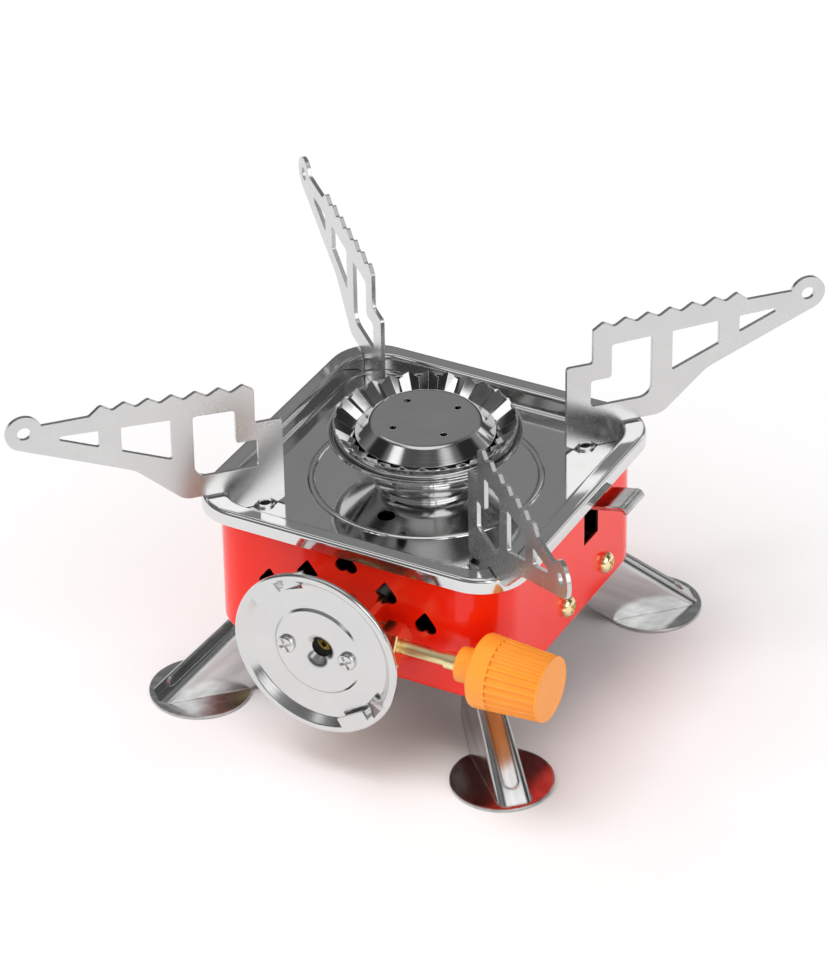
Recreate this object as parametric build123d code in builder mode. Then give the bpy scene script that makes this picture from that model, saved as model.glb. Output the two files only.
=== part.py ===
"""Folding table-top gas stove.

A square enamelled casing stands on four pressed legs and is closed by a polished drip tray. The
burner, four serrated pan supports, a bayonet connector for a gas cartridge, a needle valve and a
spark igniter with a side lever are built onto it. Legs and supports swivel on vertical pivots.

Frame: millimetres, +Z up, origin on the ground under the burner's axis. The connector faces -Y
and the igniter lever stands out at +X.
"""
import os
from math import atan2, cos, degrees, hypot, radians, sin, sqrt, tan

from build123d import *

os.makedirs("parts", exist_ok=True)

# Casing: a drawn box, open at the top, with an outward flange that the tray's rim closes over
ground_clearance = 18.7
casing_depth = 36.5
casing_side = 77.8
casing_corner = 11.2
casing_sheet = 0.6
casing_edge = 1.6
flange_gap = 0.3

# Drip tray: well inside the casing's wall, rim turned over the flange
rim_overhang = 3.6
tray_corner = 12.2
tray_sheet = 0.6
tray_depth = 5.0
skirt_depth = 3.7
seat_gap = 0.1
rim_round = 1.2
floor_round = 1.0
bead_radius = 27.5
bead_width = 1.8
bead_rise = 0.45
drain_radius = 2.15
drain_offset = 20.2

# Air vents: upside-down hearts in a V on the front wall
vent_width = 5.8
vent_height = 5.6
vent_pitch = 10.35
vent_step = 5.4
vent_top = 7.2
vent_shift = -0.7
vent_lobe = 1.6
vent_tip_round = 0.5
vents_each_side = 2

# Burner
tube_bore = 4.7
tube_wall = 0.8
tube_bend_room = 1.9
tube_lip_radius = 8.0
tube_fit = 0.05
base_radius = 12.8
base_neck = 9.2
base_height = 4.0
cup_sheet = 0.6
cup_bottom_radius = 11.5
cup_bottom_round = 3.0
cup_ledge_radius = 20.9
cup_wall_radius = 22.6
cup_lip_radius = 23.3
cup_rise = 7.4
cup_lip_rise = 1.2
pleat_count = 28
pleat_sheet = 0.4
pleat_height = 1.3
pleat_inner_radius = 15.3
pleat_slope = 4.7
hoop_sheet = 0.5
hoop_gap = 0.3
hoop_height = 3.2
cap_sheet = 0.6
cap_lap = 1.3
cap_skirt = 3.7
cap_flat_round = 1.6
cap_drop = 3.3
cap_hole_radius = 0.85
cap_hole_circle = 8.8
cap_hole_angle = 57.0
cap_hole_count = 4
cap_gap = 0.05
burner_nut_flats = 16.0
burner_nut_height = 3.0

# Pan supports: s runs outward from the pivot, heights run up from the tray's floor
support_inset = 9.3
support_set = 1.4
support_sheet = 1.0
support_floor_gap = 0.15
support_back = 4.9
support_heel = 1.0
support_toe = 8.4
support_rim_gap = 0.6
support_step_height = 22.9
support_step_end = 1.75
tooth_count = 7
tooth_first = 4.4
tooth_pitch = 5.68
tooth_depth = 1.7
tooth_rise = 1.45
tooth_round = 0.8
support_height = 35.3
support_knee = 31.0
support_heel_run = 19.5
support_slope = 22.5
tip_distance = 56.8
tip_drop = 3.7
shoulder_drop = 2.4
tip_radius = 4.4
tip_hole_radius = 1.65
knee_round = 10.0
heel_run_round = 5.0
notch_round = 0.2
heel_round = 0.5
rail_width = 4.8
lower_rail_width = 4.7
post_width = 6.15
post_upper_width = 4.75
brace_width = 5.2
window_ends = (16.8, 34.0, 48.6)
window_round = 0.9
window_foot_round = 3.2
window_foot_height = 11.0
window_step_height = 18.4
stem_width = 2.9
stem_below = 2.1
notch_width = 6.2
notch_height = 1.5
eyelet_fit = 0.06
eyelet_wall = 0.4
eyelet_flange = 0.5
eyelet_lip = 0.45
clip_radius = 2.7
clip_sheet = 0.5
clip_gap = 0.3

# Legs: the same radial frame, distances from the burner's axis on the diagonal
leg_inset = 14.2
leg_sheet = 0.8
leg_slope = 41.0
leg_tip_width = 8.4
leg_bend_width = 6.6
leg_flare = 3.0
leg_ridge_round = 1.9
leg_gap = 0.2
leg_end_radius = 5.5
leg_wall_start = 3.8
leg_wall_low = 6.9
leg_tip_reach = 34.95
foot_radius = 12.4
foot_tip_margin = 0.3
groove_width = 3.8
groove_depth = 0.5
groove_from_tip = 5.3
rivet_radius = 1.7
rivet_fit = 0.05
rivet_head_radius = 3.1
rivet_head_height = 1.1

# Connector, valve and knob: heights from the casing's bottom, reach from its front wall
valve_height = 14.0
dish_reach = 17.3
dish_sheet = 0.7
dish_boss_radius = 10.7
dish_boss_depth = 1.4
dish_floor_depth = 1.95
dish_floor_radius = 18.0
dish_wall_run = 1.9
dish_rim_width = 1.5
dish_rim_round = 0.6
dish_floor_round = 0.8
dish_edge_round = 0.4
dish_mouth_radius = 4.6
dish_inlet_radius = 2.6
dish_funnel_depth = 2.2
dish_mouth_round = 4.0
claw_width = 8.0
claw_reach = 3.4
claw_window = 5.0
claw_tongue_drop = 1.5
claw_angles = (134.0, -58.0)
claw_window_angles = (111.0, -33.0)
dish_screw_spacing = 16.0
dish_screw_radius = 1.45
dish_screw_head_radius = 2.3
dish_screw_head_height = 1.1
dish_screw_length = 5.2
screw_gap = 0.05
valve_width = 20.6
valve_tall = 19.0
valve_round = 2.0
valve_pad_radius = 10.2
stem_radius = 4.0
stem_length = 5.5
stem_gap = 0.15
inlet_bore = 1.8
inlet_wall = 1.0
gas_way = 0.8
seal_radius = 3.6
seal_bore = 2.3
seal_thickness = 1.2
spindle_reach = 6.3
spindle_rise = 1.0
spindle_radius = 1.6
spindle_fit = 0.06
spindle_end_radius = 2.1
spindle_end_length = 3.6
boss_radius = 4.6
boss_reach = 12.5
gland_flats = 9.0
gland_length = 5.0
valve_nut_flats = 13.0
valve_nut_height = 3.2
jet_holder_radius = 4.65
jet_holder_length = 6.0
jet_radius = 1.6
jet_length = 3.0
jet_hole_radius = 0.4
air_port_radius = 2.0
knob_start = 6.4
knob_collar_radius = 4.25
knob_collar_length = 5.2
knob_radius = 9.0
knob_end_radius = 7.9
knob_length = 18.0
knob_round = 1.0
knob_collar_round = 0.4
flute_count = 28
flute_radius = 0.7
flute_start = 5.0
flute_stop = 0.5
knob_socket = 9.0

# Igniter: distances from the casing's right wall, heights from under the tray's floor
lever_sheet = 1.0
lever_arm_width = 6.5
lever_tab_width = 9.5
lever_front = 6.9
lever_slope = 13.0
lever_pivot_inset = 24.9
lever_pivot_drop = 8.7
lever_reach = 10.2
lever_tab_start = 2.4
lever_lip = 1.4
lever_lip_round = 1.2
lever_knuckle_radius = 1.9
lever_pin_radius = 1.0
lever_pin_fit = 0.05
lever_travel = 16.0
slot_margin = 0.5
slot_room = 2.2
bracket_sheet = 0.8
bracket_gap = 0.9
bracket_floor_height = 3.5
bracket_cheek_height = 13.0
bracket_post_length = 6.6
bracket_flange_height = 10.0
bracket_ear = 4.0
bracket_screw_spacing = 21.0
bracket_screw_offset = 7.0
bracket_screw_height = 7.6
bracket_screw_radius = 1.45
bracket_screw_length = 5.0
bracket_screw_head_radius = 2.7
bracket_screw_head_height = 2.1
cross_width = 0.7
cross_depth = 0.7
piezo_gap = 0.15
piezo_length = 9.0
piezo_inset = 11.9
piezo_drop = 1.3
plunger_side = 6.0
plunger_gap = 0.1
plunger_engage = 4.5
plunger_pocket = 9.0
lever_rest_gap = 0.15
lead_radius = 0.9
lead_bend = 5.0
lead_height = 6.0
electrode_circle = 25.0
electrode_angle = 118.0
electrode_radius = 0.5
electrode_top = 11.8
electrode_fit = 0.02
insulator_radius = 1.6
insulator_shoulder = 2.4
insulator_above = 8.4
insulator_below = 5.4
insulator_shoulder_height = 1.2
insulator_gap = 0.08
lead_drop = 1.0

# Heights and places that follow from the sizes above
rim_top = ground_clearance + casing_depth
flange_top = rim_top - tray_sheet
floor_top = rim_top - tray_depth
floor_under = floor_top - tray_sheet
tray_side = casing_side + 2 * rim_overhang
well_wall = casing_sheet + seat_gap + tray_sheet
well_side = casing_side - 2 * well_wall
well_corner = casing_corner - well_wall
wall = casing_side / 2
wall_inside = wall - casing_sheet
tube_radius = tube_bore + tube_wall
valve_z = ground_clearance + valve_height
tube_bend = floor_under - burner_nut_height - tube_bend_room - valve_z
spindle_z = valve_z + spindle_rise
support_pivot = (well_side / 2 - support_inset) * sqrt(2)
leg_pivot = (wall - leg_inset) * sqrt(2)
corners = {"front_right": -45, "rear_right": 45, "rear_left": 135, "front_left": 225}
margin = 1.0


def across_x(x, y=0.0, z=0.0):
    """Plane square to X, its own x along +Y and its own y along +Z."""
    return Plane(origin=(x, y, z), x_dir=(0, 1, 0), z_dir=(1, 0, 0))


def across_y(y, x=0.0, z=0.0):
    """Plane square to Y that faces the front, its own x along +X and its own y along +Z."""
    return Plane(origin=(x, y, z), x_dir=(1, 0, 0), z_dir=(0, -1, 0))


front_wall = across_y(-wall)
right_wall = across_x(wall)
spindle_y = -(wall + spindle_reach)
lever_y = lever_front + lever_arm_width / 2
quadrants = [(x, y) for x in (-1, 1) for y in (-1, 1)]


# Casing
heart_spread = vent_width / 2 - vent_lobe

with BuildSketch() as heart:
    for side in (-1, 1):
        with BuildSketch(mode=Mode.PRIVATE) as heart_half:
            with Locations((0, vent_height / 2 - vent_tip_round)):
                Circle(vent_tip_round)
            with Locations((side * heart_spread, vent_lobe - vent_height / 2)):
                Circle(vent_lobe)
            make_hull()
        add(heart_half.sketch)

vent_places = [
    (vent_shift + k * vent_pitch, rim_top - vent_top - abs(k) * vent_step)
    for k in range(-vents_each_side, vents_each_side + 1)
]
bracket_screw_y = [bracket_screw_offset + k * bracket_screw_spacing / 2 for k in (-1, 1)]
bracket_screw_z = ground_clearance + bracket_screw_height
slot_top_z = floor_under - seat_gap
pivot_x = wall - lever_pivot_inset
pivot_z = floor_under - lever_pivot_drop
lever_pressed = lever_pivot_inset * tan(radians(lever_slope - lever_travel))
slot_low_z = pivot_z + lever_pressed - slot_room

with BuildPart() as casing:
    with BuildSketch(Plane.XY.offset(ground_clearance)):
        RectangleRounded(casing_side, casing_side, casing_corner)
    extrude(amount=flange_top - ground_clearance)
    fillet(casing.edges().group_by(Axis.Z)[0], radius=casing_edge)
    offset(amount=-casing_sheet, openings=casing.faces().sort_by(Axis.Z)[-1])
    with BuildSketch(Plane.XY.offset(flange_top - casing_sheet)):
        flange_inset = tray_sheet + flange_gap
        flange_side = tray_side - 2 * flange_inset
        RectangleRounded(flange_side, flange_side, tray_corner - flange_inset)
        inner_side = casing_side - 2 * casing_sheet
        RectangleRounded(inner_side, inner_side, casing_corner - casing_sheet, mode=Mode.SUBTRACT)
    extrude(amount=casing_sheet)
    with BuildSketch(front_wall):
        with Locations(*vent_places):
            add(heart.sketch)
        with Locations((0, valve_z)):
            Circle(stem_radius + stem_gap)
    extrude(amount=-2 * casing_sheet, mode=Mode.SUBTRACT)
    with BuildSketch(right_wall):
        with Locations((lever_y, (slot_low_z + slot_top_z) / 2)):
            Rectangle(lever_arm_width + 2 * slot_margin, slot_top_z - slot_low_z)
        with Locations(*[(y, bracket_screw_z) for y in bracket_screw_y]):
            Circle(bracket_screw_radius + stem_gap)
    extrude(amount=-2 * casing_sheet, mode=Mode.SUBTRACT)
    with BuildSketch(Plane.XY.offset(ground_clearance)):
        with Locations(*[(x * (wall - leg_inset), y * (wall - leg_inset)) for x, y in quadrants]):
            Circle(rivet_radius + rivet_fit)
    extrude(amount=casing_sheet, mode=Mode.SUBTRACT)
casing.part.label = "casing"
export_step(casing.part, "parts/casing.step")


# Drip tray
eyelet_bore = hypot(stem_width / 2, support_sheet / 2) + eyelet_fit
eyelet_radius = eyelet_bore + eyelet_wall
pivot_xy = support_pivot / sqrt(2)
eyelet_places = [(x * pivot_xy, y * pivot_xy) for x, y in quadrants]
electrode_x = electrode_circle * cos(radians(electrode_angle))
electrode_y = electrode_circle * sin(radians(electrode_angle))

with BuildPart() as top_tray:
    with BuildSketch(Plane.XY.offset(rim_top - skirt_depth)):
        RectangleRounded(tray_side, tray_side, tray_corner)
    extrude(amount=skirt_depth)
    with BuildSketch(Plane.XY.offset(rim_top - skirt_depth)):
        hollow_side = tray_side - 2 * tray_sheet
        RectangleRounded(hollow_side, hollow_side, tray_corner - tray_sheet)
    extrude(amount=skirt_depth - tray_sheet, mode=Mode.SUBTRACT)
    with BuildSketch(Plane.XY.offset(floor_under)):
        RectangleRounded(well_side + 2 * tray_sheet, well_side + 2 * tray_sheet, well_corner + tray_sheet)
    extrude(amount=tray_depth + tray_sheet)
    fillet(top_tray.edges().group_by(Axis.Z)[0], radius=floor_round + tray_sheet / 2)
    with BuildSketch(Plane.XY.offset(floor_top)):
        RectangleRounded(well_side, well_side, well_corner)
    extrude(amount=tray_depth, mode=Mode.SUBTRACT)
    fillet(top_tray.edges().group_by(Axis.Z)[-1], radius=rim_round)
    fillet(top_tray.edges().filter_by_position(Axis.Z, floor_top, floor_top), radius=floor_round)
    for level, bead_mode in ((floor_top, Mode.ADD), (floor_under, Mode.SUBTRACT)):
        with BuildSketch(Plane.XZ):
            with BuildLine():
                bead_start = (bead_radius - bead_width / 2, level)
                bead_end = (bead_radius + bead_width / 2, level)
                Line(bead_start, bead_end)
                ThreePointArc(bead_start, (bead_radius, level + bead_rise), bead_end)
            make_face()
        revolve(axis=Axis.Z, mode=bead_mode)
    with BuildSketch(Plane.XY.offset(floor_under)):
        Circle(tube_radius + tube_fit)
        with Locations((0, -drain_offset)):
            Circle(drain_radius)
        with Locations(*eyelet_places):
            Circle(eyelet_radius)
        with Locations((electrode_x, electrode_y)):
            Circle(insulator_radius + insulator_gap)
    extrude(amount=tray_sheet, mode=Mode.SUBTRACT)
top_tray.part.label = "top_tray"
export_step(top_tray.part, "parts/top_tray.step")


# Burner: base, cup, pleated flame ring and cap, clamped to the tray by the mixing tube's lip and a nut
base_top = floor_top + base_height
cup_top = base_top + cup_sheet
ledge_z = base_top + cup_rise

with BuildPart() as burner_base:
    with BuildSketch(Plane.XZ):
        with BuildLine():
            Polyline(
                (base_neck, base_top),
                (tube_radius + tube_fit, base_top),
                (tube_radius + tube_fit, floor_top),
                (base_radius, floor_top),
                (base_radius, floor_top + cup_sheet),
            )
            TangentArc(
                (base_radius, floor_top + cup_sheet), (base_neck, base_top), tangent=(-1, 0.25)
            )
        make_face()
    revolve(axis=Axis.Z)
burner_base.part.label = "burner_base"
export_step(burner_base.part, "parts/burner_base.step")

with BuildPart() as burner_cup:
    with BuildSketch(Plane.XZ):
        with BuildLine():
            FilletPolyline(
                (tube_radius + tube_fit, base_top + cup_sheet / 2),
                (cup_bottom_radius, base_top + cup_sheet / 2),
                (cup_ledge_radius, ledge_z),
                (cup_wall_radius, ledge_z),
                (cup_wall_radius, ledge_z + cup_lip_rise),
                (cup_lip_radius, ledge_z + cup_lip_rise),
                radius=[cup_bottom_round, cup_sheet, cup_sheet, cup_sheet],
            )
        trace(line_width=cup_sheet)
    revolve(axis=Axis.Z)
burner_cup.part.label = "burner_cup"
export_step(burner_cup.part, "parts/burner_cup.step")

hoop_radius = cup_wall_radius - cup_sheet / 2 - hoop_gap
hoop_bottom = ledge_z + cup_sheet / 2
hoop_top = hoop_bottom + hoop_height
pleat_outer_radius = hoop_radius - hoop_sheet / 2
pleat_outer_z = hoop_top - pleat_sheet + pleat_height / 2
pleat_inner_z = pleat_outer_z - pleat_slope
pleat_turn = 180 / pleat_count

with BuildPart() as pleat:
    for side in (-1, 1):
        for turn, level in ((0, 1), (side * pleat_turn, -1)):
            radial = Plane.XZ.rotated((0, 0, turn))
            stretch = 1 / cos(radians(turn))
            with BuildSketch(radial):
                rise = level * pleat_height / 2
                with BuildLine():
                    Polyline(
                        (pleat_inner_radius, pleat_inner_z + rise),
                        (pleat_outer_radius * stretch, pleat_outer_z + rise),
                        (pleat_outer_radius * stretch, pleat_outer_z + rise - pleat_sheet),
                        (pleat_inner_radius, pleat_inner_z + rise - pleat_sheet),
                        close=True,
                    )
                make_face()
        loft(ruled=True)

with BuildPart() as flame_ring:
    with PolarLocations(0, pleat_count):
        add(pleat.part)
    with BuildSketch(Plane.XY.offset(hoop_bottom)):
        Circle(hoop_radius)
        Circle(hoop_radius - hoop_sheet, mode=Mode.SUBTRACT)
    extrude(amount=hoop_height)
flame_ring.part.label = "flame_ring"
export_step(flame_ring.part, "parts/flame_ring.step")

pleat_reach = pleat_outer_radius - pleat_inner_radius
cap_radius = pleat_inner_radius + cap_lap
cap_flat_radius = cap_radius - cap_skirt
cap_seat_share = (cap_radius - pleat_inner_radius) / pleat_reach
cap_edge_z = pleat_inner_z + pleat_height / 2 + pleat_slope * cap_seat_share + cap_gap + cap_sheet
cap_top = cap_edge_z + cap_drop

with BuildPart() as burner_cap:
    with BuildSketch(Plane.XZ):
        with BuildLine():
            FilletPolyline(
                (0, cap_top - cap_sheet / 2),
                (cap_flat_radius, cap_top - cap_sheet / 2),
                (cap_radius, cap_edge_z - cap_sheet / 2),
                radius=cap_flat_round,
            )
        trace(line_width=cap_sheet)
    revolve(axis=Axis.Z)
    with BuildSketch(Plane.XY.offset(cap_top)):
        with PolarLocations(cap_hole_circle, cap_hole_count, start_angle=cap_hole_angle):
            Circle(cap_hole_radius)
    extrude(amount=-2 * cap_sheet, mode=Mode.SUBTRACT)
burner_cap.part.label = "burner_cap"
export_step(burner_cap.part, "parts/burner_cap.step")

jet_end_y = -(wall_inside - valve_nut_height - jet_holder_length)
tube_mouth_y = jet_end_y - jet_holder_length / 2
air_port_y = jet_end_y + jet_length + air_port_radius

with BuildPart() as mixing_tube:
    with BuildLine() as tube_route:
        FilletPolyline(
            (0, tube_mouth_y, valve_z), (0, 0, valve_z), (0, 0, cup_top), radius=tube_bend
        )
    with BuildSketch(across_y(tube_mouth_y, z=valve_z)):
        Circle(tube_radius)
        Circle(tube_bore, mode=Mode.SUBTRACT)
    sweep(path=tube_route.wires()[0])
    with BuildSketch(Plane.XY.offset(cup_top)):
        Circle(tube_lip_radius)
        Circle(tube_bore, mode=Mode.SUBTRACT)
    extrude(amount=tube_wall)
    with BuildSketch(Plane.XY.offset(valve_z)):
        with Locations((0, air_port_y)):
            Circle(air_port_radius)
    extrude(amount=2 * tube_radius, both=True, mode=Mode.SUBTRACT)
    with BuildSketch(across_x(0, z=valve_z)):
        with Locations((air_port_y, 0)):
            Circle(air_port_radius)
    extrude(amount=2 * tube_radius, both=True, mode=Mode.SUBTRACT)
mixing_tube.part.label = "mixing_tube"
export_step(mixing_tube.part, "parts/mixing_tube.step")

with BuildPart() as burner_nut:
    with BuildSketch(Plane.XY.offset(floor_under)):
        RegularPolygon(burner_nut_flats / 2, 6, major_radius=False)
        Circle(tube_radius + tube_fit, mode=Mode.SUBTRACT)
    extrude(amount=-burner_nut_height)
burner_nut.part.label = "burner_nut"
export_step(burner_nut.part, "parts/burner_nut.step")


# Pan supports, their eyelets in the tray and the clips on their stems
plate_bottom = floor_top + support_floor_gap
shelf_z = rim_top + support_rim_gap
step_z = floor_top + support_step_height
tooth_top = floor_top + support_height
shoulder_z = tooth_top - shoulder_drop
tip_z = tooth_top - tip_drop
tooth_last = tooth_first + (tooth_count - 1) * tooth_pitch
tooth_climb = tooth_rise / (tooth_last - tooth_first)
slope_run = tan(radians(support_slope))
slope_drop = tip_radius / cos(radians(support_slope))


def lower_edge(s):
    """Height of the straight lower edge, which is tangent to the ring at the tip."""
    return tip_z - slope_drop - (tip_distance - s) * slope_run


def tooth_line(s):
    """Height of the line over the teeth, which climbs outward to the last one."""
    return tooth_top - (tooth_last - s) * tooth_climb


teeth = [(tooth_first, tooth_line(tooth_first))]
for k in range(1, tooth_count):
    valley = tooth_first + (k - 0.5) * tooth_pitch
    teeth.append((valley, tooth_line(valley) - tooth_depth))
    teeth.append((tooth_first + k * tooth_pitch, tooth_line(tooth_first + k * tooth_pitch)))
tip_touch = (
    tip_distance + tip_radius * sin(radians(support_slope)),
    tip_z - tip_radius * cos(radians(support_slope)),
)
outline = [
    (-support_back, step_z),
    (support_step_end, step_z),
    (support_step_end, tooth_line(support_step_end) - tooth_depth),
    *teeth,
    (tooth_last + tooth_pitch / 2, shoulder_z),
    (tip_distance, shoulder_z),
    tip_touch,
    (support_knee, lower_edge(support_knee)),
    (support_heel_run, shelf_z),
    (support_toe + support_rim_gap, shelf_z),
    (support_toe, plate_bottom),
    (notch_width / 2, plate_bottom),
    (stem_width / 2, floor_top + notch_height),
    (-stem_width / 2, floor_top + notch_height),
    (-notch_width / 2, plate_bottom),
    (-support_back, plate_bottom + support_heel),
]
outline_rounds = [
    *(tooth_round, tooth_round, tooth_round / 2),
    *(tooth_round for _ in teeth),
    *(tooth_round, 0, 0, knee_round, heel_run_round, support_rim_gap, support_rim_gap),
    *(notch_round, notch_round, notch_round, notch_round, heel_round),
]
foot_z = floor_top + window_foot_height
window_step_z = floor_top + window_step_height
post_edge = post_width - support_back
upper_edge = support_step_end + post_upper_width


def window_top(s):
    """Upper edge of the windows, parallel to the line over the teeth."""
    return tooth_line(s) - tooth_depth - rail_width


windows = [
    (
        [
            (upper_edge, window_top(upper_edge)),
            (window_ends[0], window_top(window_ends[0])),
            (window_ends[0], foot_z),
            (post_edge, foot_z),
            (post_edge, window_step_z),
            (upper_edge, window_step_z),
        ],
        [window_round, window_round, window_foot_round, window_round, window_round, window_round],
    )
]
for start, end in zip(window_ends[:-1], window_ends[1:]):
    near = start + brace_width
    windows.append(
        (
            [
                (near, window_top(near)),
                (end, window_top(end)),
                (end, lower_edge(end) + lower_rail_width),
                (near, lower_edge(near) + lower_rail_width),
            ],
            window_round / 2,
        )
    )
eyelet_under = floor_under - eyelet_flange
clip_top = eyelet_under - clip_gap
stem_end = clip_top - clip_sheet - stem_below / 2


with BuildPart() as support_plate:
    with BuildSketch(Plane.XZ):
        with BuildLine():
            FilletPolyline(*outline, radius=outline_rounds, close=True)
        make_face()
        with Locations((tip_distance, tip_z)):
            Circle(tip_radius)
            Circle(tip_hole_radius, mode=Mode.SUBTRACT)
        stem_top = floor_top + notch_height + margin
        with Locations((0, (stem_top + stem_end) / 2)):
            Rectangle(stem_width, stem_top - stem_end)
        for points, rounds in windows:
            with BuildLine():
                FilletPolyline(*points, radius=rounds, close=True)
            make_face(mode=Mode.SUBTRACT)
    extrude(amount=support_sheet / 2, both=True)

with BuildPart() as clip_shape:
    with BuildSketch(Plane.XY.offset(clip_top)):
        Circle(clip_radius)
        Rectangle(stem_width, support_sheet, mode=Mode.SUBTRACT)
    extrude(amount=-clip_sheet)

for corner, angle in corners.items():
    pivot_place = (support_pivot * cos(radians(angle)), support_pivot * sin(radians(angle)), 0)
    swung_out = Location(pivot_place, (0, 0, angle + support_set))
    with BuildPart() as pan_support:
        add(support_plate.part.moved(swung_out))
    pan_support.part.label = f"pan_support_{corner}"
    export_step(pan_support.part, f"parts/pan_support_{corner}.step")
    with BuildPart() as support_clip:
        add(clip_shape.part.moved(swung_out))
    support_clip.part.label = f"support_clip_{corner}"
    export_step(support_clip.part, f"parts/support_clip_{corner}.step")

with BuildPart() as support_eyelets:
    for level, radius, height in (
        (eyelet_under, eyelet_radius + eyelet_lip, eyelet_flange),
        (floor_under, eyelet_radius, tray_sheet),
        (floor_top, eyelet_radius + eyelet_lip, eyelet_flange),
    ):
        with BuildSketch(Plane.XY.offset(level)):
            with Locations(*eyelet_places):
                Circle(radius)
                Circle(eyelet_bore, mode=Mode.SUBTRACT)
        extrude(amount=height)
support_eyelets.part.label = "support_eyelets"
export_step(support_eyelets.part, "parts/support_eyelets.step")


# Legs: a flared channel that runs down from the pivot to the outer edge of a round foot
leg_top = ground_clearance - leg_gap
leg_tip = leg_pivot + leg_tip_reach
leg_rise = tan(radians(leg_slope))
leg_bend = leg_tip - leg_top / leg_rise
foot_centre = leg_tip + foot_tip_margin - foot_radius
wall_start = leg_pivot + leg_wall_start
wall_meets_foot = foot_centre - sqrt(foot_radius**2 - (leg_tip_width / 2) ** 2)
leg_run = (-cos(radians(leg_slope)), 0, sin(radians(leg_slope)))
channel_plane = Plane(origin=(leg_tip, 0, 0), x_dir=(0, 1, 0), z_dir=leg_run)
leg_up = (sin(radians(leg_slope)), 0, cos(radians(leg_slope)))
web_plane = Plane(origin=(leg_tip, 0, 0), x_dir=leg_run, z_dir=leg_up)
channel_deep = leg_top + 2 * leg_sheet
channel_long = (leg_tip - wall_start) * cos(radians(leg_slope)) + leg_top * sin(radians(leg_slope))
flare_run = tan(radians(leg_flare))
web_long = leg_top / sin(radians(leg_slope))


def web_half(along):
    """Half the web's width, which narrows from the tip up to the bend."""
    return (leg_tip_width + (leg_bend_width - leg_tip_width) * along / web_long) / 2


def channel_section(inset, along):
    """Flared section of the channel, drawn in by the sheet's thickness for its inside."""
    half = web_half(along) - inset
    low = half + (channel_deep - inset) * flare_run
    return [(-half, inset), (half, inset), (low, channel_deep), (-low, channel_deep)]


under_web = leg_sheet / sin(radians(leg_slope))


def inside_half_width(x):
    """Half the channel's inside width on the ground at a distance from the burner's axis."""
    deep = (leg_tip - x) * sin(radians(leg_slope))
    half = web_half((leg_tip - x) * cos(radians(leg_slope)))
    return half - leg_sheet + (deep - leg_sheet) * flare_run


hollow_tip = leg_tip - under_web
hollow_heel = foot_centre - foot_radius - margin

with BuildPart() as leg_shape:
    for inset, channel_mode in ((0, Mode.ADD), (leg_sheet, Mode.SUBTRACT)):
        for along in (0, channel_long):
            with BuildSketch(channel_plane.offset(along)):
                with BuildLine():
                    ridge = leg_ridge_round - inset
                    section = channel_section(inset, along)
                    FilletPolyline(*section, radius=[ridge, ridge, 0, 0], close=True)
                make_face()
        loft(ruled=True, mode=channel_mode)
    with BuildSketch(Plane.XZ):
        with BuildLine():
            Polyline(
                (leg_tip + margin, 0),
                (leg_tip + margin, leg_top),
                (wall_start, leg_top),
                (wall_start, leg_wall_low),
                (wall_meets_foot, leg_sheet),
                (wall_meets_foot, 0),
                close=True,
            )
        make_face()
    extrude(amount=foot_radius, both=True, mode=Mode.INTERSECT)
    with BuildSketch(Plane.XY):
        with Locations((foot_centre, 0)):
            Circle(foot_radius)
        with BuildLine():
            tip_half = inside_half_width(hollow_tip)
            heel_half = inside_half_width(hollow_heel)
            Polyline(
                (hollow_tip, -tip_half),
                (hollow_tip, tip_half),
                (hollow_heel, heel_half),
                (hollow_heel, -heel_half),
                close=True,
            )
        make_face(mode=Mode.SUBTRACT)
    extrude(amount=leg_sheet)
    with BuildSketch(Plane.XY.offset(leg_top - leg_sheet)):
        with Locations((leg_pivot, 0)):
            Circle(leg_end_radius)
        with Locations(((leg_pivot + leg_bend) / 2, 0)):
            Rectangle(leg_bend - leg_pivot, leg_bend_width)
        with Locations((leg_pivot, 0)):
            Circle(rivet_radius + rivet_fit, mode=Mode.SUBTRACT)
    extrude(amount=leg_sheet)
    with BuildSketch(web_plane):
        groove_long = (leg_tip - leg_bend) / cos(radians(leg_slope)) - groove_from_tip
        with Locations((groove_from_tip + groove_long / 2, 0)):
            SlotOverall(groove_long, groove_width)
    extrude(amount=-groove_depth, mode=Mode.SUBTRACT)

for corner, angle in corners.items():
    with BuildPart() as leg:
        add(leg_shape.part, rotation=(0, 0, angle))
    leg.part.label = f"leg_{corner}"
    export_step(leg.part, f"parts/leg_{corner}.step")

rivet_places = [(x * leg_pivot / sqrt(2), y * leg_pivot / sqrt(2)) for x, y in quadrants]
rivet_low = leg_top - leg_sheet - leg_gap
rivet_high = ground_clearance + casing_sheet

with BuildPart() as leg_rivets:
    for level, radius, height in (
        (rivet_low, rivet_head_radius, -rivet_head_height),
        (rivet_low, rivet_radius, rivet_high - rivet_low),
        (rivet_high, rivet_head_radius, rivet_head_height),
    ):
        with BuildSketch(Plane.XY.offset(level)):
            with Locations(*rivet_places):
                Circle(radius)
        extrude(amount=height)
    fillet(leg_rivets.edges().group_by(Axis.Z)[0], radius=rivet_head_height / 2)
leg_rivets.part.label = "leg_rivets"
export_step(leg_rivets.part, "parts/leg_rivets.step")


# Connector dish: a spun plate with a funnel at the inlet and two claws turned in from its rim
dish_y = -(wall + dish_reach)
dish_axis = Axis((0, dish_y, valve_z), (0, 1, 0))
dish_plane = Plane(origin=(0, dish_y, valve_z), x_dir=(1, 0, 0), z_dir=(0, 0, 1))
half_sheet = dish_sheet / 2
dish_wall_radius = dish_floor_radius + dish_wall_run
dish_radius = dish_wall_radius + dish_rim_width
tongue_turn = degrees(atan2(claw_tongue_drop, claw_window))
tongue_long = hypot(claw_tongue_drop, claw_window) + dish_sheet
dish_screw_places = [(k * dish_screw_spacing / 2, 0) for k in (-1, 1)]

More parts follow.
